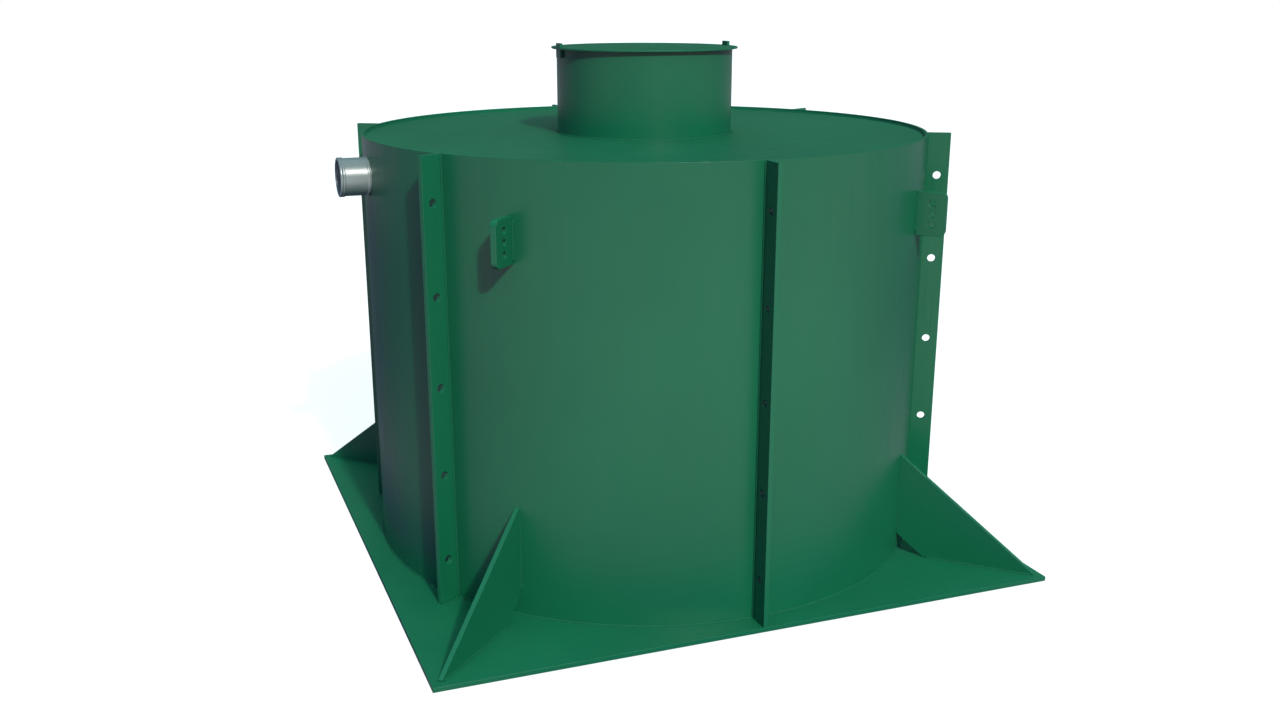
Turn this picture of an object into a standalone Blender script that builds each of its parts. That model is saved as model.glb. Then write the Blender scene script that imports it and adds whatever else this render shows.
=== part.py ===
"""Round plastic grease trap: a ribbed tank on a square base plate, with a manhole neck, a lid and two pipe stubs."""
import math

import bmesh
import bpy

# Tank body
BODY_RADIUS = 1.000
SHELL_WALL = 0.010
RIM_HEIGHT = 1.491
PLATE_THICKNESS = 0.016
ROOF_THICKNESS = 0.012
ROOF_RECESS = 0.012
PANEL_COUNT = 6
STEPS_PER_PANEL = 20

# Ribs, each standing over a joint between two shell panels
RIB_DEPTH = 0.080
RIB_THICKNESS = 0.016
RIB_HOLE_COUNT = 5
RIB_HOLE_RADIUS = 0.014

# Gussets and lifting lugs, which share four directions
BRACE_ANGLES = (45, 135, 225, 315)
GUSSET_HEIGHT = 0.374
GUSSET_THICKNESS = 0.016
GUSSET_SETBACK = 0.042
GUSSET_TIP = 0.006
NOTCH_HEIGHT = 0.076
NOTCH_LENGTH = 0.100
LUG_DROP = 0.168
LUG_HEIGHT = 0.147
LUG_DEPTH = 0.100
LUG_THICKNESS = 0.020
LUG_CORNER_RADIUS = 0.020
LUG_HOLE_COUNT = 3
LUG_HOLE_RADIUS = 0.011
LUG_HOLE_PITCH = 0.0365
LUG_HOLE_REACH = 0.052

# Manhole neck, its lid and the two tabs that locate the lid
NECK_RADIUS = 0.311
NECK_WALL = 0.010
NECK_HEIGHT = 0.290
NECK_STEPS = 96
LID_THICKNESS = 0.006
LID_LIP = 0.007
TAB_WIDTH = 0.044
TAB_THICKNESS = 0.010
TAB_OVERLAP = 0.028
TAB_RISE = 0.0145
SLOT_CLEARANCE = 0.001

# Pipe stubs
PIPE_RADIUS = 0.0635
PIPE_WALL = 0.0055
PIPE_REACH = 0.100
PIPE_INSIDE = 0.030
PIPE_DROP = 0.1255
PIPE_STEPS = 48
END_BEAD_WIDTH = 0.023
ROOT_BEAD_WIDTH = 0.009
BEAD_HEIGHT = 0.0026
BEAD_POINTS = 8

# Clearance between pieces that touch, and the fineness of small arcs
SEAT_GAP = 0.0003
HOLE_POINTS = 24
CORNER_POINTS = 6

# Levels and reaches that several pieces share
PLATE_SIDE = 2 * (BODY_RADIUS + RIB_DEPTH)
FOOT_LEVEL = PLATE_THICKNESS + SEAT_GAP
INNER_RADIUS = BODY_RADIUS - SHELL_WALL
SEAT_RADIUS = BODY_RADIUS + SEAT_GAP
ROOF_TOP = RIM_HEIGHT - ROOF_RECESS
NECK_FOOT = ROOF_TOP + SEAT_GAP
NECK_TOP = ROOF_TOP + NECK_HEIGHT
LID_FOOT = NECK_TOP + SEAT_GAP
LID_TOP = LID_FOOT + LID_THICKNESS
TAB_SEAT = NECK_RADIUS + SEAT_GAP
PIPE_LEVEL = RIM_HEIGHT - PIPE_DROP

# Colours
TANK_GREEN = (0.022, 0.155, 0.088)
PIPE_GREY = (0.235, 0.300, 0.275)


def clear_scene():
    for obj in list(bpy.data.objects):
        bpy.data.objects.remove(obj, do_unlink=True)


def new_collection(name):
    collection = bpy.data.collections.new(name)
    bpy.context.scene.collection.children.link(collection)
    return collection


def paint(obj, color, roughness):
    material = bpy.data.materials.new(obj.name)
    material.use_nodes = True
    shader = material.node_tree.nodes["Principled BSDF"]
    shader.inputs["Base Color"].default_value = (*color, 1.0)
    shader.inputs["Roughness"].default_value = roughness
    shader.inputs["Metallic"].default_value = 0.0
    obj.data.materials.append(material)


def add(name, data, location=(0, 0, 0), rotation=(0, 0, 0)):
    obj = bpy.data.objects.new(name, data)
    obj.location = location
    obj.rotation_euler = rotation
    parts.objects.link(obj)
    obj.parent = tank
    return obj


def arc(radius, centre=(0, 0), start=0.0, end=2 * math.pi, points=HOLE_POINTS):
    """Points along an arc. A full circle leaves out the last point, which would repeat the first."""
    full = math.isclose(end - start, 2 * math.pi)
    spans = points if full else points - 1
    angles = [start + (end - start) * i / spans for i in range(points)]
    return [(centre[0] + radius * math.cos(a), centre[1] + radius * math.sin(a)) for a in angles]


def sheet(name, thickness, outlines, location=(0, 0, 0), rotation=(0, 0, 0)):
    """A flat piece cut from sheet: the first outline is its edge, the others are its holes."""
    curve = bpy.data.curves.new(name, "CURVE")
    curve.dimensions = "2D"
    curve.fill_mode = "BOTH"
    curve.extrude = thickness / 2
    for outline in outlines:
        spline = curve.splines.new("POLY")
        spline.points.add(len(outline) - 1)
        for point, (x, y) in zip(spline.points, outline):
            point.co = (x, y, 0, 1)
        spline.use_cyclic_u = True
    return add(name, curve, location, rotation)


def standing(angle):
    """Rotation that stands a sheet on edge, with its x axis pointing out of the tank at this angle from the front."""
    return (math.radians(90), 0, math.radians(angle - 90))


def meshed(obj):
    """The same piece as a plain mesh: points welded, round faces shaded smooth and corners kept sharp."""
    graph = bpy.context.evaluated_depsgraph_get()
    mesh = bpy.data.meshes.new_from_object(obj.evaluated_get(graph))
    work = bmesh.new()
    work.from_mesh(mesh)
    bmesh.ops.remove_doubles(work, verts=work.verts, dist=0.00001)
    work.to_mesh(mesh)
    work.free()
    mesh.shade_smooth()
    mesh.set_sharp_from_angle(angle=math.radians(30))
    name = obj.name
    location = obj.location.copy()
    rotation = obj.rotation_euler.copy()
    bpy.data.objects.remove(obj, do_unlink=True)
    return add(name, mesh, location, rotation)


def turned(name, profile, steps, location=(0, 0, 0), rotation=(0, 0, 0)):
    """A closed profile of (radius, height) points turned once about the z axis."""
    mesh = bpy.data.meshes.new(name)
    count = len(profile)
    mesh.from_pydata([(r, 0, z) for r, z in profile], [(i, (i + 1) % count) for i in range(count)], [])
    obj = add(name, mesh, location, rotation)
    screw = obj.modifiers.new("Turn", "SCREW")
    screw.steps = steps
    screw.render_steps = steps
    screw.use_merge_vertices = True
    screw.merge_threshold = 0.00001
    return meshed(obj)


def base_plate():
    bpy.ops.mesh.primitive_cube_add(size=1)
    plate = bpy.context.object
    plate.name = "base_plate"
    for collection in plate.users_collection:
        collection.objects.unlink(plate)
    parts.objects.link(plate)
    plate.parent = tank
    plate.scale = (PLATE_SIDE, PLATE_SIDE, PLATE_THICKNESS)
    plate.location = (0, 0, PLATE_THICKNESS / 2)
    paint(plate, TANK_GREEN, 0.45)


def pipe_cutter():
    """A rod along the x axis that bores both pipe holes."""
    mesh = bpy.data.meshes.new("pipe_cutter")
    work = bmesh.new()
    radius = PIPE_RADIUS + SEAT_GAP
    length = 2 * (BODY_RADIUS + PIPE_REACH)
    bmesh.ops.create_cone(work, cap_ends=True, segments=PIPE_STEPS, radius1=radius, radius2=radius, depth=length)
    work.to_mesh(mesh)
    work.free()
    cutter = bpy.data.objects.new("pipe_cutter", mesh)
    cutter.location = (0, 0, PIPE_LEVEL)
    cutter.rotation_euler = (0, math.radians(90), 0)
    cutter.hide_render = True
    cutter.display_type = "WIRE"
    cutters.objects.link(cutter)
    return cutter


def shell():
    """Six curved panels. Their upright joints lie under the ribs, and the pipes pass through two of them."""
    cutter = pipe_cutter()
    panel_angle = 2 * math.pi / PANEL_COUNT
    joint_angle = SEAT_GAP / BODY_RADIUS
    height = RIM_HEIGHT - FOOT_LEVEL
    for i in range(PANEL_COUNT):
        start = math.radians(-90) + i * panel_angle + joint_angle / 2
        end = start + panel_angle - joint_angle
        outer = arc(BODY_RADIUS, start=start, end=end, points=STEPS_PER_PANEL + 1)
        inner = arc(INNER_RADIUS, start=end, end=start, points=STEPS_PER_PANEL + 1)
        panel = sheet(f"shell_panel_{i + 1}", height, [outer + inner], (0, 0, FOOT_LEVEL + height / 2))
        panel = meshed(panel)
        middle = (start + end) / 2
        if abs(math.sin(middle)) < math.sin(panel_angle / 2):
            bore = panel.modifiers.new("Pipe hole", "BOOLEAN")
            bore.operation = "DIFFERENCE"
            bore.solver = "EXACT"
            bore.object = cutter
        paint(panel, TANK_GREEN, 0.40)


def roof_plate():
    edge = arc(INNER_RADIUS - SEAT_GAP, points=PANEL_COUNT * STEPS_PER_PANEL)
    manhole = arc(NECK_RADIUS - NECK_WALL, points=NECK_STEPS)
    level = ROOF_TOP - ROOF_THICKNESS / 2
    roof = sheet("roof_plate", ROOF_THICKNESS, [edge, manhole], (0, 0, level))
    paint(roof, TANK_GREEN, 0.40)


def ribs():
    """Six upright flat bars with a row of evenly spread holes, from the base plate to the rim."""
    height = RIM_HEIGHT - FOOT_LEVEL
    outer = BODY_RADIUS + RIB_DEPTH
    edge = [(SEAT_RADIUS, FOOT_LEVEL), (outer, FOOT_LEVEL), (outer, RIM_HEIGHT), (SEAT_RADIUS, RIM_HEIGHT)]
    pitch = height / RIB_HOLE_COUNT
    middle = BODY_RADIUS + RIB_DEPTH / 2
    levels = [FOOT_LEVEL + (i + 0.5) * pitch for i in range(RIB_HOLE_COUNT)]
    holes = [arc(RIB_HOLE_RADIUS, (middle, level)) for level in levels]
    for i in range(PANEL_COUNT):
        angle = i * 360 / PANEL_COUNT
        rib = sheet(f"rib_{i + 1}", RIB_THICKNESS, [edge, *holes], rotation=standing(angle))
        paint(rib, TANK_GREEN, 0.45)


def gussets():
    """Four triangular plates that brace the wall on the corners of the base plate."""
    tip = PLATE_SIDE / math.sqrt(2) - GUSSET_SETBACK
    edge = [
        (SEAT_RADIUS, FOOT_LEVEL + NOTCH_HEIGHT),
        (BODY_RADIUS + NOTCH_LENGTH, FOOT_LEVEL),
        (tip, FOOT_LEVEL),
        (tip, FOOT_LEVEL + GUSSET_TIP),
        (SEAT_RADIUS, FOOT_LEVEL + GUSSET_HEIGHT),
    ]
    for i, angle in enumerate(BRACE_ANGLES):
        gusset = sheet(f"gusset_{i + 1}", GUSSET_THICKNESS, [edge], rotation=standing(angle))
        paint(gusset, TANK_GREEN, 0.45)


def lifting_lugs():
    """Four small plates near the rim, each with three holes for a shackle."""
    top = RIM_HEIGHT - LUG_DROP
    bottom = top - LUG_HEIGHT
    corner = BODY_RADIUS + LUG_DEPTH - LUG_CORNER_RADIUS
    lower = arc(LUG_CORNER_RADIUS, (corner, bottom + LUG_CORNER_RADIUS), -math.pi / 2, 0, CORNER_POINTS)
    upper = arc(LUG_CORNER_RADIUS, (corner, top - LUG_CORNER_RADIUS), 0, math.pi / 2, CORNER_POINTS)
    edge = [(SEAT_RADIUS, bottom), *lower, *upper, (SEAT_RADIUS, top)]
    middle = (top + bottom) / 2
    levels = [middle + (i - (LUG_HOLE_COUNT - 1) / 2) * LUG_HOLE_PITCH for i in range(LUG_HOLE_COUNT)]
    holes = [arc(LUG_HOLE_RADIUS, (BODY_RADIUS + LUG_HOLE_REACH, level)) for level in levels]
    for i, angle in enumerate(BRACE_ANGLES):
        lug = sheet(f"lifting_lug_{i + 1}", LUG_THICKNESS, [edge, *holes], rotation=standing(angle))
        paint(lug, TANK_GREEN, 0.45)


def neck():
    inner = NECK_RADIUS - NECK_WALL
    profile = [(NECK_RADIUS, NECK_TOP), (NECK_RADIUS, NECK_FOOT), (inner, NECK_FOOT), (inner, NECK_TOP)]
    tube = turned("neck", profile, NECK_STEPS)
    paint(tube, TANK_GREEN, 0.40)


def lid():
    """A flat disc with two slots near its edge, which drop over the tabs. A narrow lip is left outside each slot."""
    near = TAB_SEAT - SLOT_CLEARANCE
    far = TAB_SEAT + TAB_THICKNESS + SLOT_CLEARANCE
    half = TAB_WIDTH / 2 + SLOT_CLEARANCE
    edge = arc(far + LID_LIP, points=NECK_STEPS)
    slots = [[(x * near, -half), (x * far, -half), (x * far, half), (x * near, half)] for x in (-1, 1)]
    disc = sheet("lid", LID_THICKNESS, [edge, *slots], (0, 0, LID_FOOT + LID_THICKNESS / 2))
    paint(disc, TANK_GREEN, 0.35)


def lid_tabs():
    """Two upright tabs on the outside of the neck, reaching through the lid's slots."""
    bottom = NECK_TOP - TAB_OVERLAP
    top = LID_TOP + TAB_RISE
    half = TAB_WIDTH / 2
    edge = [(-half, bottom), (half, bottom), (half, top), (-half, top)]
    middle = TAB_SEAT + TAB_THICKNESS / 2
    for name, side in (("lid_tab_left", -1), ("lid_tab_right", 1)):
        tab = sheet(name, TAB_THICKNESS, [edge], (side * middle, 0, 0), (math.radians(90), 0, math.radians(90)))
        paint(tab, TANK_GREEN, 0.45)


def bead(start, end):
    """A rounded ring on the pipe's outside, as (radius, distance) points from one side to the other."""
    middle = (start + end) / 2
    half = (end - start) / 2
    points = []
    for i in range(BEAD_POINTS + 1):
        a = math.pi * i / BEAD_POINTS
        points.append((PIPE_RADIUS + BEAD_HEIGHT * math.sin(a), middle - half * math.cos(a)))
    return points


def pipes():
    """Inlet and outlet stubs: a tube through the wall, with a ring at its end and one against the shell."""
    end = BODY_RADIUS + PIPE_REACH
    inside = INNER_RADIUS - PIPE_INSIDE
    bore = PIPE_RADIUS - PIPE_WALL
    root_ring = bead(SEAT_RADIUS, SEAT_RADIUS + ROOT_BEAD_WIDTH)
    end_ring = bead(end - END_BEAD_WIDTH, end)
    outside = [(PIPE_RADIUS, inside), *root_ring, *end_ring]
    profile = [(bore, inside), (bore, end), *reversed(outside)]
    for name, side in (("inlet_pipe", -1), ("outlet_pipe", 1)):
        pipe = turned(name, profile, PIPE_STEPS, (0, 0, PIPE_LEVEL), (0, side * math.radians(90), 0))
        paint(pipe, PIPE_GREY, 0.30)


clear_scene()
parts = new_collection("grease_trap")
cutters = new_collection("cutters")
tank = bpy.data.objects.new("grease_trap_origin", None)
parts.objects.link(tank)
base_plate()
shell()
roof_plate()
ribs()
gussets()
lifting_lugs()
neck()
lid()
lid_tabs()
pipes()
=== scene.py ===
import math

import bmesh
import bpy
from mathutils import Matrix, Vector, noise


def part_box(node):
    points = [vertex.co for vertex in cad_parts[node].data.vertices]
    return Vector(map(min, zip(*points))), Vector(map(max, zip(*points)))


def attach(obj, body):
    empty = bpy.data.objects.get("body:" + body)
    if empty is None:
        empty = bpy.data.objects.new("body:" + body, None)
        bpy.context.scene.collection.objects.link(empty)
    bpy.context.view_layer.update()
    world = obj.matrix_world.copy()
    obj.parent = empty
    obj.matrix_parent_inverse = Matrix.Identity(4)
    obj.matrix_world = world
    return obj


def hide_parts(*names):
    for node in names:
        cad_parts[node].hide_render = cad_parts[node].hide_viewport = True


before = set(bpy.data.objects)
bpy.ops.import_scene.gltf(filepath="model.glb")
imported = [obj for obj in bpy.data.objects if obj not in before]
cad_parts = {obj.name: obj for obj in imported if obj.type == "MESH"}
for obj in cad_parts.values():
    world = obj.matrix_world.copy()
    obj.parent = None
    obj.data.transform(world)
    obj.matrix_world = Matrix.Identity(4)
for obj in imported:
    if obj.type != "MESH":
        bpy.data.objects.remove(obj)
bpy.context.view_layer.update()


# Base plate
# One square of thick extruded polypropylene sheet, sawn to size, with its sharp edges scraped off.
# The wall, the ribs and the gussets are welded on top of it.

SHEET_GREEN = (0.0050, 0.1280, 0.0530)
SHEET_DEEP = (0.0040, 0.1150, 0.0470)
SAWN_GREEN = (0.0065, 0.1330, 0.0580)
DUST = (0.1700, 0.2400, 0.2000)
SHEET_GLOSS = 0.70
FLAT_ROUGHNESS = 0.40
FLAT_DRAW = (1.0, 7.0, 7.0)
FLAT_DUST = 0.015
CLOUD_SCALE = 1.7
LINE_SCALE = 9.0
LINE_SHARE = 0.16
LINE_ROUGHNESS = 0.08
SCUFF_SCALE = 26.0
SCUFF_SHARE = 0.04
SCUFF_ROUGHNESS = 0.15
FILM_SCALE = 5.0
SHEET_GRAIN_SCALE = 60.0
SHEET_GRAIN_DEPTH = 0.0002
SAWN_ROUGHNESS = 0.30
SAW_MARK_SCALE = 240.0
SAW_MARK_ROUGHNESS = 0.20
SAW_MARK_DEPTH = 0.0003
SCRAPED_EDGE = 0.0014
SCRAPED_STEPS = 2
SCRAPED_FROM_ANGLE = 40


class Nodes:
    """A node tree that is being filled in."""

    def __init__(self, tree):
        self.tree = tree

    def add(self, kind, settings=None, sockets=None, output=0):
        """One node: its settings, then the values or wires of its sockets. It gives back the wire out."""
        node = self.tree.nodes.new(kind)
        for key, value in (settings or {}).items():
            setattr(node, key, value)
        for key, value in (sockets or {}).items():
            self.join(value, node.inputs[key])
        return Wire(self, node.outputs[output])

    def join(self, value, socket):
        if isinstance(value, Wire):
            self.tree.links.new(value.socket, socket)
        else:
            socket.default_value = value

    def blend(self, share, first, second):
        """A colour that goes from the first to the second as the share goes from 0 to 1."""
        sockets = {0: share}
        for key, color in ((6, first), (7, second)):
            sockets[key] = color if isinstance(color, Wire) else (*color, 1.0)
        return self.add("ShaderNodeMix", {"data_type": "RGBA"}, sockets, output=2)


class Wire:
    """One output in a node tree. Arithmetic on it adds Math nodes."""

    def __init__(self, nodes, socket):
        self.nodes = nodes
        self.socket = socket

    def math(self, operation, first, second):
        return self.nodes.add("ShaderNodeMath", {"operation": operation}, {0: first, 1: second})

    def __add__(self, other):
        return self.math("ADD", self, other)

    def __radd__(self, other):
        return self.math("ADD", other, self)

    def __rsub__(self, other):
        return self.math("SUBTRACT", other, self)

    def __mul__(self, other):
        return self.math("MULTIPLY", self, other)

    def __rmul__(self, other):
        return self.math("MULTIPLY", other, self)


class Finish(Nodes):
    """A surface finish, built on the Principled shader of a new material."""

    def __init__(self, name):
        self.material = bpy.data.materials.new(name)
        self.material.use_nodes = True
        super().__init__(self.material.node_tree)
        self.shader = self.tree.nodes["Principled BSDF"]
        self.place = self.add("ShaderNodeTexCoord", output="Object")

    def feed(self, name, value):
        self.join(value, self.shader.inputs[name])

    def stretched(self, x, y, z):
        return self.add("ShaderNodeVectorMath", {"operation": "MULTIPLY"}, {0: self.place, 1: (x, y, z)})

    def grain(self, scale, detail=3.0, place=None, roughness=0.55):
        sockets = {"Vector": place or self.place, "Scale": scale, "Detail": detail, "Roughness": roughness}
        return self.add("ShaderNodeTexNoise", {}, sockets)

    def window(self, value, low, high):
        """The value spread so that low gives 0 and high gives 1, and held there outside them."""
        settings = {"clamp": True, "interpolation_type": "SMOOTHSTEP"}
        return self.add("ShaderNodeMapRange", settings, {"Value": value, "From Min": low, "From Max": high})

    def relief(self, height, depth):
        """Small relief: a height of 0 to 1 that stands this many metres deep."""
        bump = self.add("ShaderNodeBump", {}, {"Height": height, "Distance": depth, "Strength": 1.0})
        self.feed("Normal", bump)


def sheet_finish(name, draw, roughness, dust=0.0):
    """Extruded polypropylene sheet: soft clouds of colour, faint lines along its draw and a few scuffs."""
    finish = Finish(name)
    clouds = finish.grain(CLOUD_SCALE, 2.0)
    lines = finish.grain(LINE_SCALE, 4.0, finish.stretched(*draw))
    streaks = finish.grain(SCUFF_SCALE, 6.0, finish.stretched(1.0, 1.0, 0.25), 0.7)
    scuffs = finish.window(streaks, 0.66, 0.80)
    color = finish.blend(finish.window(clouds, 0.30, 0.70), SHEET_DEEP, SHEET_GREEN)
    color = finish.blend(finish.window(lines, 0.45, 0.95) * LINE_SHARE, color, SAWN_GREEN)
    color = finish.blend(scuffs * SCUFF_SHARE, color, DUST)
    if dust:
        film = finish.window(finish.grain(FILM_SCALE, 5.0), 0.42, 0.75)
        color = finish.blend(film * dust, color, DUST)
    finish.feed("Base Color", color)
    rough_lines = finish.window(lines, 0.2, 0.8) * LINE_ROUGHNESS
    finish.feed("Roughness", roughness + rough_lines + scuffs * SCUFF_ROUGHNESS)
    finish.feed("Specular IOR Level", SHEET_GLOSS)
    finish.relief(finish.grain(SHEET_GRAIN_SCALE, 2.0) * 0.5 + lines * 0.5, SHEET_GRAIN_DEPTH)
    return finish.material


def sawn_finish(name):
    """A sawn and scraped edge of the same sheet: a little paler, with fine saw marks."""
    finish = Finish(name)
    marks = finish.grain(SAW_MARK_SCALE, 2.0)
    finish.feed("Base Color", finish.blend(finish.window(marks, 0.30, 0.75), SHEET_GREEN, SAWN_GREEN))
    finish.feed("Roughness", SAWN_ROUGHNESS + marks * SAW_MARK_ROUGHNESS)
    finish.feed("Specular IOR Level", SHEET_GLOSS)
    finish.relief(marks, SAW_MARK_DEPTH)
    return finish.material


def fit(name, work, finishes, nodes, edge=SCRAPED_EDGE):
    """Make a piece of a finished bmesh. It rides on the tank and stands for its CAD nodes."""
    mesh = bpy.data.meshes.new(name)
    for face in work.faces:
        face.smooth = True
    work.to_mesh(mesh)
    work.free()
    for finish in finishes:
        mesh.materials.append(finish)
    piece = bpy.data.objects.new(name, mesh)
    bpy.context.scene.collection.objects.link(piece)
    if edge:
        scraped = piece.modifiers.new("Scraped edges", "BEVEL")
        scraped.width = edge
        scraped.segments = SCRAPED_STEPS
        scraped.limit_method = "ANGLE"
        scraped.angle_limit = math.radians(SCRAPED_FROM_ANGLE)
        scraped.harden_normals = True
    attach(piece, "root")
    if nodes:
        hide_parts(*nodes)
    return piece


def mark_sawn(work):
    """Give the faces that look along z the first finish, the sheet's, and the others the second."""
    work.normal_update()
    for face in work.faces:
        face.material_index = 0 if abs(face.normal.z) > 0.5 else 1


def sawn_block(node):
    """A square-sawn block that fills the box of a CAD node."""
    low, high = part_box(node)
    work = bmesh.new()
    bmesh.ops.create_cube(work, size=1)
    bmesh.ops.scale(work, vec=high - low, verts=work.verts)
    bmesh.ops.translate(work, vec=(low + high) / 2, verts=work.verts)
    mark_sawn(work)
    return work


flat_green = sheet_finish("flat_green", FLAT_DRAW, FLAT_ROUGHNESS, FLAT_DUST)
sawn_green = sawn_finish("sawn_green")
fit("plate", sawn_block("base_plate"), [flat_green, sawn_green], ["base_plate"])


# Wall
# A polypropylene sheet rolled into a cylinder, its joints hidden under the ribs. Its top edge stands a
# little above the roof. A hole on each side takes a pipe stub, and a weld bead runs round its foot.

QUARTER_TURN = math.radians(90)
TOUCHING = 1e-6
WALL_STEPS = 360
WALL_ROUGHNESS = 0.30
WALL_DRAW = (6.0, 6.0, 0.35)
HOLE_STEPS = 96
HOLE_CLEARANCE = 0.0003
HOLE_EDGE_ANGLE = 50
DRILL_RADII = 2.5
RING_HEIGHT = 0.0026
WELD_GREEN = (0.0050, 0.0900, 0.0400)
WELD_GLOSS = 0.30
WELD_MOTTLE_SCALE = 30.0
WELD_ROUGHNESS = 0.55
WELD_PATCH_SCALE = 90.0
WELD_PATCH_ROUGHNESS = 0.15
WELD_GRAIN_SCALE = 400.0
WELD_GRAIN_DEPTH = 0.0002
WELD_LEG = 0.0045
WELD_POINTS = 6
WELD_SINK = 0.0008
WELD_STEP = 0.0035
WELD_RIPPLE = 0.0004
RIPPLE_PITCH = 0.0055

wall_low, wall_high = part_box("shell_panel_1")
wall_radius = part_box("shell_panel_2")[1].x
roof_low, roof_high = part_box("roof_plate")
wall_inner = roof_high.x
pipe_low, pipe_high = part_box("inlet_pipe")
pipe_level = (pipe_low.z + pipe_high.z) / 2


def spun(profile, steps):
    """A closed outline of (radius, height) points, turned once about the z axis."""
    work = bmesh.new()
    verts = [work.verts.new((r, 0, z)) for r, z in profile]
    for start, end in zip(verts, verts[1:] + verts[:1]):
        work.edges.new((start, end))
    geom = work.verts[:] + work.edges[:]
    bmesh.ops.spin(work, geom=geom, angle=2 * math.pi, steps=steps, axis=(0, 0, 1), use_merge=True)
    bmesh.ops.remove_doubles(work, verts=work.verts, dist=TOUCHING)
    bmesh.ops.recalc_face_normals(work, faces=work.faces)
    return work


def weld_section(out, up):
    """A weld bead's section from a corner at (0, 0): a quarter round between two legs, let in a little."""
    points = [(-WELD_SINK, -WELD_SINK)]
    for i in range(WELD_POINTS + 1):
        a = QUARTER_TURN * i / WELD_POINTS
        points.append((WELD_LEG * math.cos(a), WELD_LEG * math.sin(a)))
    points.insert(1, (WELD_LEG, -WELD_SINK))
    points.append((-WELD_SINK, WELD_LEG))
    return [(out * x, up * y) for x, y in points]


def ripple(work):
    """The small ripples that a hand-held welding tool leaves."""
    work.normal_update()
    for vert in work.verts:
        vert.co += vert.normal * WELD_RIPPLE * noise.noise(vert.co / RIPPLE_PITCH)


def ring_weld(radius, level, out, up):
    """A weld bead round the z axis. Its legs point out (1) or in (-1), and up (1) or down (-1)."""
    work = spun([(radius + x, level + z) for x, z in weld_section(out, up)], WALL_STEPS)
    around = []
    for edge in work.edges:
        start, end = (vert.co for vert in edge.verts)
        if abs(start.z - end.z) < TOUCHING and abs(start.xy.length - end.xy.length) < TOUCHING:
            around.append(edge)
    cuts = int(around[0].calc_length() / WELD_STEP)
    if cuts:
        bmesh.ops.subdivide_edges(work, edges=around, cuts=cuts, use_grid_fill=True)
    ripple(work)
    return work


def weld_finish(name):
    """Extruded weld rod of the same green, a little darker and duller than the sheet."""
    finish = Finish(name)
    finish.feed("Base Color", finish.blend(finish.grain(WELD_MOTTLE_SCALE) * 0.5, WELD_GREEN, SHEET_GREEN))
    finish.feed("Roughness", WELD_ROUGHNESS + finish.grain(WELD_PATCH_SCALE) * WELD_PATCH_ROUGHNESS)
    finish.feed("Specular IOR Level", WELD_GLOSS)
    finish.relief(finish.grain(WELD_GRAIN_SCALE), WELD_GRAIN_DEPTH)
    return finish.material


def bored(piece, tool):
    """Cut a tool's shape out of a piece whose other modifiers are done, and drop the tool."""
    cutter = bpy.data.objects.new("tool", bpy.data.meshes.new("tool"))
    tool.to_mesh(cutter.data)
    tool.free()
    bpy.context.scene.collection.objects.link(cutter)
    cut = piece.modifiers.new("Bored", "BOOLEAN")
    cut.operation = "DIFFERENCE"
    cut.solver = "EXACT"
    cut.object = cutter
    mesh = bpy.data.meshes.new_from_object(piece.evaluated_get(bpy.context.evaluated_depsgraph_get()))
    piece.modifiers.clear()
    piece.data = mesh
    mesh.shade_smooth()
    mesh.set_sharp_from_angle(angle=math.radians(HOLE_EDGE_ANGLE))
    weighted = piece.modifiers.new("Flat faces", "WEIGHTED_NORMAL")
    weighted.keep_sharp = True
    bpy.data.objects.remove(cutter, do_unlink=True)


wall_green = sheet_finish("wall_green", WALL_DRAW, WALL_ROUGHNESS)
weld_green = weld_finish("weld_green")
wall_outline = [
    (wall_radius, wall_high.z),
    (wall_radius, wall_low.z),
    (wall_inner, wall_low.z),
    (wall_inner, wall_high.z),
]
panels = [f"shell_panel_{i}" for i in range(1, 7)]
wall = fit("wall", spun(wall_outline, WALL_STEPS), [wall_green], panels)
drill = bmesh.new()
drill_radius = (pipe_high.z - pipe_low.z) / 2 - RING_HEIGHT + HOLE_CLEARANCE
bmesh.ops.create_cone(
    drill,
    cap_ends=True,
    segments=HOLE_STEPS,
    radius1=drill_radius,
    radius2=drill_radius,
    depth=DRILL_RADII * wall_radius,
    matrix=Matrix.Translation((0, 0, pipe_level)) @ Matrix.Rotation(QUARTER_TURN, 4, "Y"),
)
bored(wall, drill)
fit("wall_foot_weld", ring_weld(wall_radius, wall_low.z, 1, 1), [weld_green], [], edge=0)


# Roof
# A flat polypropylene disc with a round manhole, let into the top of the wall and welded to it all round.

NECK_WALL = 0.010

neck_low, neck_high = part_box("neck")
neck_radius = neck_high.x
manhole = neck_radius - NECK_WALL
roof_outline = [
    (manhole, roof_high.z),
    (roof_high.x, roof_high.z),
    (roof_high.x, roof_low.z),
    (manhole, roof_low.z),
]
fit("roof", spun(roof_outline, WALL_STEPS), [flat_green], ["roof_plate"])
fit("roof_weld", ring_weld(wall_inner, roof_high.z, -1, 1), [weld_green], [], edge=0)


# Ribs
# Six upright flat bars of thick sheet that stiffen the wall. Each has five drilled holes and stands over a
# joint in the wall, with a weld bead down both sides.

RIB_COUNT = 6
RIB_DEPTH = 0.080
RIB_THICKNESS = 0.016
RIB_BORES = 5
RIB_BORE_RADIUS = 0.014
BORE_STEPS = 32
UPRIGHT_ROUGHNESS = 0.30
UPRIGHT_DRAW = (7.0, 7.0, 0.5)

rib_low, rib_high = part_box("rib_1")
wall_seat = -rib_high.y
upright_green = sheet_finish("upright_green", UPRIGHT_DRAW, UPRIGHT_ROUGHNESS)


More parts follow.
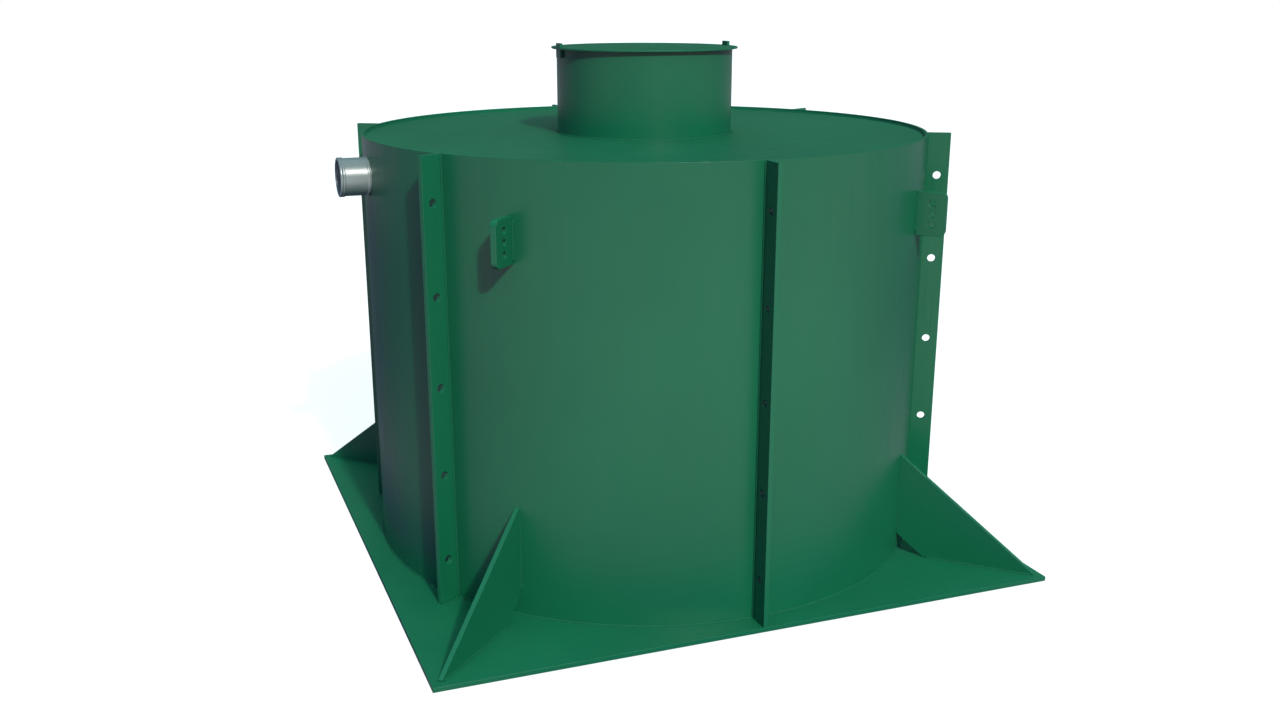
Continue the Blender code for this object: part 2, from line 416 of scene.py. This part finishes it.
def cut_sheet(thickness, outlines, circles=()):
    """A sheet cut along outlines of (x, y) points and circles of (x, y, radius, steps).

    Its middle is at z = 0. The sawn edges and drilled bores take the second finish.
    """
    work = bmesh.new()
    for outline in outlines:
        verts = [work.verts.new((x, y, 0)) for x, y in outline]
        for start, end in zip(verts, verts[1:] + verts[:1]):
            work.edges.new((start, end))
    for x, y, radius, steps in circles:
        bmesh.ops.create_circle(work, segments=steps, radius=radius, matrix=Matrix.Translation((x, y, 0)))
    bmesh.ops.triangle_fill(work, edges=work.edges[:], use_beauty=True)
    made = bmesh.ops.extrude_face_region(work, geom=work.faces[:])
    upper = [item for item in made["geom"] if isinstance(item, bmesh.types.BMVert)]
    bmesh.ops.translate(work, vec=(0, 0, thickness), verts=upper)
    bmesh.ops.translate(work, vec=(0, 0, -thickness / 2), verts=work.verts)
    bmesh.ops.recalc_face_normals(work, faces=work.faces)
    mark_sawn(work)
    return work


def stand(work, angle):
    """Stand a sheet on edge, its x axis pointing out of the tank at this angle from the front."""
    upright = Matrix.Rotation(QUARTER_TURN, 3, "X")
    turned = Matrix.Rotation(math.radians(angle - 90), 3, "Z")
    bmesh.ops.rotate(work, cent=(0, 0, 0), matrix=turned @ upright, verts=work.verts)
    return work


def straight_weld(work, angle, thickness, start, end, legs, side):
    """Add a bead beside a sheet that stands at this angle.

    It runs from start to end, both (reach, height), on one side of the sheet (1 or -1). One of its legs
    points along legs, as (reach, height), and the other away from the sheet.
    """
    out = Vector((math.sin(math.radians(angle)), -math.cos(math.radians(angle)), 0))
    up = Vector((0, 0, 1))
    away = side * up.cross(out)
    leg = out * legs[0] + up * legs[1]
    origin = out * start[0] + up * start[1] + away * thickness / 2
    run = out * (end[0] - start[0]) + up * (end[1] - start[1])
    verts = [work.verts.new(origin + leg * x + away * y) for x, y in weld_section(1, 1)]
    edges = [work.edges.new(pair) for pair in zip(verts, verts[1:] + verts[:1])]
    made = bmesh.ops.extrude_edge_only(work, edges=edges)["geom"]
    far = [item for item in made if isinstance(item, bmesh.types.BMVert)]
    bmesh.ops.translate(work, vec=run, verts=far)
    rim = [item for item in made if isinstance(item, bmesh.types.BMEdge) and set(item.verts) <= set(far)]
    lengthwise = [edge for vert in verts for edge in vert.link_edges if edge.other_vert(vert) in far]
    bmesh.ops.edgeloop_fill(work, edges=edges)
    bmesh.ops.edgeloop_fill(work, edges=rim)
    bmesh.ops.subdivide_edges(work, edges=lengthwise, cuts=int(run.length / WELD_STEP), use_grid_fill=True)


rib_reach = -rib_low.y
rib_outline = [
    (wall_seat, rib_low.z),
    (rib_reach, rib_low.z),
    (rib_reach, rib_high.z),
    (wall_seat, rib_high.z),
]
rib_pitch = (rib_high.z - rib_low.z) / RIB_BORES
rib_middle = rib_reach - RIB_DEPTH / 2
rib_bores = [
    (rib_middle, rib_low.z + (i + 0.5) * rib_pitch, RIB_BORE_RADIUS, BORE_STEPS) for i in range(RIB_BORES)
]
rib_welds = bmesh.new()
for i in range(RIB_COUNT):
    angle = i * 360 / RIB_COUNT
    rib = stand(cut_sheet(RIB_THICKNESS, [rib_outline], rib_bores), angle)
    node = f"rib_{i + 1}"
    fit(f"{node}_bar", rib, [upright_green, sawn_green], [node])
    for side in (1, -1):
        start = (wall_seat, rib_low.z + WELD_LEG)
        end = (wall_seat, rib_high.z - WELD_LEG)
        straight_weld(rib_welds, angle, RIB_THICKNESS, start, end, (1, 0), side)
bmesh.ops.recalc_face_normals(rib_welds, faces=rib_welds.faces)
ripple(rib_welds)
fit("rib_welds", rib_welds, [weld_green], [], edge=0)


# Gussets
# Four triangular plates that brace the wall on the corners of the base plate. A cut-off inner corner lets
# the wall's foot weld pass, and a bead runs along the wall and the base plate on both sides.

BRACE_ANGLES = (45, 135, 225, 315)
GUSSET_THICKNESS = 0.016
GUSSET_TIP = 0.006
NOTCH_HEIGHT = 0.076
NOTCH_REACH = 1.100
WELD_END = 0.012

gusset_low, gusset_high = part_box("gusset_1")
gusset_tip = gusset_high.x * math.sqrt(2) - GUSSET_THICKNESS / 2
gusset_outline = [
    (wall_seat, gusset_low.z + NOTCH_HEIGHT),
    (NOTCH_REACH, gusset_low.z),
    (gusset_tip, gusset_low.z),
    (gusset_tip, gusset_low.z + GUSSET_TIP),
    (wall_seat, gusset_high.z),
]
gusset_welds = bmesh.new()
for i, angle in enumerate(BRACE_ANGLES):
    gusset = stand(cut_sheet(GUSSET_THICKNESS, [gusset_outline]), angle)
    node = f"gusset_{i + 1}"
    fit(f"{node}_plate", gusset, [upright_green, sawn_green], [node])
    for side in (1, -1):
        start = (wall_seat, gusset_low.z + NOTCH_HEIGHT + WELD_END)
        end = (wall_seat, gusset_high.z - WELD_END)
        straight_weld(gusset_welds, angle, GUSSET_THICKNESS, start, end, (1, 0), side)
        start = (NOTCH_REACH + WELD_END, gusset_low.z)
        end = (gusset_tip - WELD_END, gusset_low.z)
        straight_weld(gusset_welds, angle, GUSSET_THICKNESS, start, end, (0, 1), side)
bmesh.ops.recalc_face_normals(gusset_welds, faces=gusset_welds.faces)
ripple(gusset_welds)
fit("gusset_welds", gusset_welds, [weld_green], [], edge=0)


# Lifting lugs
# Four small thick plates under the rim, above the gussets. Their outer corners are rounded, and three bores
# in each take a shackle.

LUG_THICKNESS = 0.020
LUG_CORNER_RADIUS = 0.020
LUG_CORNER_STEPS = 8
LEVEL_WITHIN = 1e-5
LUG_BORES = 3
LUG_BORE_RADIUS = 0.011
LUG_BORE_PITCH = 0.0365
LUG_BORE_REACH = 1.052

lug_low, lug_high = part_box("lifting_lug_1")
lug_reach = lug_high.x * math.sqrt(2) - LUG_THICKNESS / 2
lug_middle = (lug_low.z + lug_high.z) / 2
lug_outline = [
    (wall_seat, lug_low.z),
    (lug_reach, lug_low.z),
    (lug_reach, lug_high.z),
    (wall_seat, lug_high.z),
]


def outer_corners(sheet):
    """The edges across a lug's thickness at its two outer corners."""
    corners = []
    for edge in sheet.edges:
        start, end = (vert.co for vert in edge.verts)
        outermost = min(start.x, end.x) > lug_reach - LEVEL_WITHIN
        if outermost and abs(start.z - end.z) > LEVEL_WITHIN and abs(start.y - end.y) < LEVEL_WITHIN:
            corners.append(edge)
    return corners


lug_bores = []
for i in range(LUG_BORES):
    level = lug_middle + (i - (LUG_BORES - 1) / 2) * LUG_BORE_PITCH
    lug_bores.append((LUG_BORE_REACH, level, LUG_BORE_RADIUS, BORE_STEPS))
lug_welds = bmesh.new()
for i, angle in enumerate(BRACE_ANGLES):
    lug = cut_sheet(LUG_THICKNESS, [lug_outline], lug_bores)
    bmesh.ops.bevel(
        lug,
        geom=outer_corners(lug),
        offset=LUG_CORNER_RADIUS,
        segments=LUG_CORNER_STEPS,
        profile=0.5,
        affect="EDGES",
        material=-1,
    )
    stand(lug, angle)
    node = f"lifting_lug_{i + 1}"
    fit(f"lug_{i + 1}", lug, [upright_green, sawn_green], [node])
    for side in (1, -1):
        start = (wall_seat, lug_low.z + WELD_END)
        end = (wall_seat, lug_high.z - WELD_END)
        straight_weld(lug_welds, angle, LUG_THICKNESS, start, end, (1, 0), side)
bmesh.ops.recalc_face_normals(lug_welds, faces=lug_welds.faces)
ripple(lug_welds)
fit("lug_welds", lug_welds, [weld_green], [], edge=0)


# Manhole neck
# A short length of the same sheet rolled into a tube, which stands on the roof over the manhole. A weld
# bead runs round its foot. Two upright tabs on its sides reach through the lid.

TAB_EDGE = 0.0010

neck_outline = [
    (neck_radius, neck_high.z),
    (neck_radius, neck_low.z),
    (manhole, neck_low.z),
    (manhole, neck_high.z),
]
fit("neck_tube", spun(neck_outline, WALL_STEPS), [wall_green], ["neck"])
fit("neck_weld", ring_weld(neck_radius, neck_low.z, 1, 1), [weld_green], [], edge=0)
for node in ("lid_tab_left", "lid_tab_right"):
    fit(f"{node}_plate", sawn_block(node), [sawn_green, upright_green], [node], edge=TAB_EDGE)


# Lid
# A flat disc of thinner sheet that lies loose on the neck. Two slots near its edge drop over the tabs.

LID_THICKNESS = 0.006
LID_EDGE = 0.0010
SLOT_CLEARANCE = 0.001

lid_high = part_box("lid")[1]
tab_low, tab_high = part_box("lid_tab_right")
near = tab_low.x - SLOT_CLEARANCE
far = tab_high.x + SLOT_CLEARANCE
half = tab_high.y + SLOT_CLEARANCE
slots = []
for side in (-1, 1):
    slots.append([(side * near, -half), (side * far, -half), (side * far, half), (side * near, half)])
lid = cut_sheet(LID_THICKNESS, slots, [(0, 0, lid_high.x, WALL_STEPS)])
bmesh.ops.translate(lid, vec=(0, 0, lid_high.z - LID_THICKNESS / 2), verts=lid.verts)
fit("lid_disc", lid, [flat_green, sawn_green], ["lid"], edge=LID_EDGE)


# Pipe stubs
# Two short lengths of glossy grey sewer pipe, the inlet and the outlet, pushed through the wall and sealed
# to it. Each has two narrow rolled rings at its mouth and one against the wall.

PIPE_STEPS = 128
PIPE_WALL = 0.0055
MOUTH_RING = 0.0085
ROOT_RING = 0.0090
RING_POINTS = 12
RING_CROWN = 0.55
PIPE_EDGE = 0.0003
PIPE_GREY = (0.1550, 0.2100, 0.1950)
PIPE_PALE = (0.1900, 0.2450, 0.2200)
PIPE_DIRT = (0.1200, 0.1300, 0.1100)
DIE_LINE_SCALE = 14.0
DIRT_SCALE = 22.0
DIRT_SHARE = 0.10
DIRT_ROUGHNESS = 0.03
PIPE_ROUGHNESS = 0.37
PIPE_IOR = 2.2
PIPE_COAT_IOR = 3.2
PIPE_GRAIN_SCALE = 300.0
PIPE_GRAIN_DEPTH = 0.00002


def pipe_finish(name):
    """Extruded grey pipe: strong highlights, with faint lines from the die and a little handling dirt."""
    finish = Finish(name)
    die_lines = finish.grain(DIE_LINE_SCALE, 3.0, finish.stretched(0.3, 4.0, 4.0))
    dirt = finish.window(finish.grain(DIRT_SCALE, 5.0), 0.50, 0.80)
    color = finish.blend(finish.window(die_lines, 0.3, 0.7), PIPE_GREY, PIPE_PALE)
    finish.feed("Base Color", finish.blend(dirt * DIRT_SHARE, color, PIPE_DIRT))
    finish.feed("Roughness", PIPE_ROUGHNESS + dirt * DIRT_ROUGHNESS)
    finish.feed("IOR", PIPE_IOR)
    finish.feed("Coat Weight", 1.0)
    finish.feed("Coat IOR", PIPE_COAT_IOR)
    finish.feed("Coat Roughness", PIPE_ROUGHNESS)
    finish.relief(finish.grain(PIPE_GRAIN_SCALE, 2.0), PIPE_GRAIN_DEPTH)
    return finish.material


def rolled_ring(start, end):
    """A ring with a broad crown on the pipe's outside, as (radius, distance) points from side to side."""
    middle = (start + end) / 2
    half = (end - start) / 2
    points = []
    for i in range(RING_POINTS + 1):
        a = math.pi * i / RING_POINTS
        height = RING_HEIGHT * abs(math.sin(a)) ** RING_CROWN
        points.append((pipe_radius + height, middle - half * math.cos(a)))
    return points


pipe_grey = pipe_finish("pipe_grey")
pipe_radius = drill_radius - HOLE_CLEARANCE
pipe_bore = pipe_radius - PIPE_WALL
pipe_mouth = -pipe_low.x
pipe_tail = -pipe_high.x
pipe_outline = [
    (pipe_bore, pipe_tail),
    (pipe_bore, pipe_mouth),
    *reversed(rolled_ring(pipe_mouth - MOUTH_RING, pipe_mouth)),
    *reversed(rolled_ring(pipe_mouth - 2 * MOUTH_RING, pipe_mouth - MOUTH_RING)[:-1]),
    *reversed(rolled_ring(wall_seat, wall_seat + ROOT_RING)),
    (pipe_radius, pipe_tail),
]
for node, side in (("inlet_pipe", -1), ("outlet_pipe", 1)):
    pipe = spun(pipe_outline, PIPE_STEPS)
    turn = Matrix.Rotation(side * QUARTER_TURN, 3, "Y")
    bmesh.ops.rotate(pipe, cent=(0, 0, 0), matrix=turn, verts=pipe.verts)
    bmesh.ops.translate(pipe, vec=(0, 0, pipe_level), verts=pipe.verts)
    fit(f"{node}_stub", pipe, [pipe_grey], [node], edge=PIPE_EDGE)


# Studio
# A plain white floor and backdrop. What the gloss sees of the floor is a painted reflection: a painted glow
# in front, darker behind, and painted shade near the tank. A sharp sun and a soft one that makes the glints
# stand high in front, and a low lamp lights the far side. The fill from above is bluish and narrow.

FLOOR_RADIUS = 60.0
FLOOR_STEPS = 64
FLOOR_DROP = 0.001
FLOOR_GLOW = (0.78, 0.78, 0.78)
FLOOR_PALE = (0.25, 0.25, 0.25)
FLOOR_DIM = (0.04, 0.045, 0.06)
# The floor as reflections see it is painted: a bright painted glow in front, dim behind, brighter far off,
# and painted shade near the tank.
PAINTED_REFLECTION_FRONT = (0.70, 0.67, 0.65)
PAINTED_REFLECTION_BACK = (0.040, 0.044, 0.050)
PAINTED_SHADE_NEAR_TANK = (0.01, 0.02, 0.05)
PAINTED_REFLECTION_FAR = (0.30, 0.31, 0.32)
GLOSS_SKY = (0.06, 0.075, 0.085)
FRONT_TO_BACK = (0.2, 0.98, 0.0)
TURN_TO_BACK = (-5.0, 2.5)
TURN_TO_PAINTED_SHADE = (1.2, 1.8)
TURN_TO_FAR = (7.0, 14.0)
FILL_LOW = (0.04, 0.04, 0.40)
FILL_HIGH = (1.68, 3.40, 3.52)
FILL_NARROWING = 2.0
KEY_AZIMUTH = 1.2
KEY_ELEVATION = 36.5
KEY_COLOR = (1.0, 0.98, 0.94)
REAR_AZIMUTH = 160
REAR_ELEVATION = 15
REAR_COLOR = (0.90, 0.95, 1.0)

floor_finish = Finish("studio_floor")
rays = [floor_finish.add("ShaderNodeLightPath", output=name) for name in ("Is Camera Ray", "Is Glossy Ray")]
place = floor_finish.place
slant = floor_finish.add(
    "ShaderNodeVectorMath", {"operation": "DOT_PRODUCT"}, {0: place, 1: FRONT_TO_BACK}, output="Value"
)
reach = floor_finish.add("ShaderNodeVectorMath", {"operation": "LENGTH"}, {0: place}, output="Value")
# Painted reflection: the floor's glow for glossy rays changes with place, and is darkest near the tank as
# painted shade.
behind = floor_finish.blend(floor_finish.window(reach, *TURN_TO_FAR), PAINTED_REFLECTION_BACK, PAINTED_REFLECTION_FAR)
painted_floor_reflection = floor_finish.blend(floor_finish.window(slant, *TURN_TO_BACK), PAINTED_REFLECTION_FRONT, behind)
painted_floor_reflection = floor_finish.blend(floor_finish.window(reach, *TURN_TO_PAINTED_SHADE), PAINTED_SHADE_NEAR_TANK, painted_floor_reflection)
glow = floor_finish.blend(rays[1], (0, 0, 0), painted_floor_reflection)
floor_finish.feed("Emission Color", floor_finish.blend(rays[0], glow, FLOOR_GLOW))
floor_finish.feed("Emission Strength", 1.0)
floor_finish.feed("Base Color", floor_finish.blend(rays[0], FLOOR_DIM, FLOOR_PALE))
floor_finish.feed("Roughness", 1.0)
floor_finish.feed("Specular IOR Level", 0.0)
floor_mesh = bpy.data.meshes.new("floor")
work = bmesh.new()
bmesh.ops.create_circle(work, cap_ends=True, segments=FLOOR_STEPS, radius=FLOOR_RADIUS)
bmesh.ops.translate(work, verts=work.verts, vec=(0, 0, -FLOOR_DROP))
work.to_mesh(floor_mesh)
work.free()
floor_mesh.materials.append(floor_finish.material)
floor = bpy.data.objects.new("floor", floor_mesh)
bpy.context.scene.collection.objects.link(floor)

world = bpy.data.worlds.new("studio")
world.use_nodes = True
sky = Nodes(world.node_tree)
rays = [sky.add("ShaderNodeLightPath", output=name) for name in ("Is Camera Ray", "Is Glossy Ray")]
direction = sky.add("ShaderNodeTexCoord", output="Object")
height = sky.add("ShaderNodeSeparateXYZ", sockets={0: direction}, output="Z")
across = sky.add("ShaderNodeSeparateXYZ", sockets={0: direction}, output="X")
rise = height * height
ahead = 1.0 - FILL_NARROWING * across * across
fill = sky.blend(rise * rise * ahead, FILL_LOW, FILL_HIGH)
sky_color = sky.blend(rays[0], sky.blend(rays[1], fill, GLOSS_SKY), (1, 1, 1))
sky.join(sky_color, world.node_tree.nodes["Background"].inputs["Color"])
bpy.context.scene.world = world


def add_sun(name, energy, softness, azimuth, elevation, color, glints=True):
    """A sun at an azimuth from the front towards the right and an elevation above the floor."""
    data = bpy.data.lights.new(name, "SUN")
    data.energy = energy
    data.angle = math.radians(softness)
    data.color = color
    lamp = bpy.data.objects.new(name, data)
    lamp.rotation_euler = (math.radians(90 - elevation), 0, math.radians(azimuth))
    lamp.visible_glossy = glints
    bpy.context.scene.collection.objects.link(lamp)


add_sun("key", 2.4, 2, KEY_AZIMUTH, KEY_ELEVATION, KEY_COLOR, glints=False)
add_sun("key_glints", 1.15, 12, KEY_AZIMUTH, KEY_ELEVATION, KEY_COLOR)
add_sun("rear", 1.3, 20, REAR_AZIMUTH, REAR_ELEVATION, REAR_COLOR, glints=False)


# Camera
# It stands to the left of the front and a little above the rim. Its place, angles and lens are fitted to
# points measured on the photograph.

CAMERA_PLACE = (-1.75544, -4.49144, 1.96597)
CAMERA_PITCH = 73.0428
CAMERA_HEADING = -20.8130
LENS = 37.0940
SENSOR_WIDTH = 36
SHIFT_X = 0.006496
SHIFT_Y = 0.025

camera_data = bpy.data.cameras.new("camera")
camera_data.lens = LENS
camera_data.sensor_width = SENSOR_WIDTH
camera_data.shift_x = SHIFT_X
camera_data.shift_y = SHIFT_Y
camera = bpy.data.objects.new("camera", camera_data)
camera.location = CAMERA_PLACE
camera.rotation_euler = (math.radians(CAMERA_PITCH), 0, math.radians(CAMERA_HEADING))
bpy.context.scene.collection.objects.link(camera)
bpy.context.scene.camera = camera
bpy.context.scene.view_settings.view_transform = "Standard"
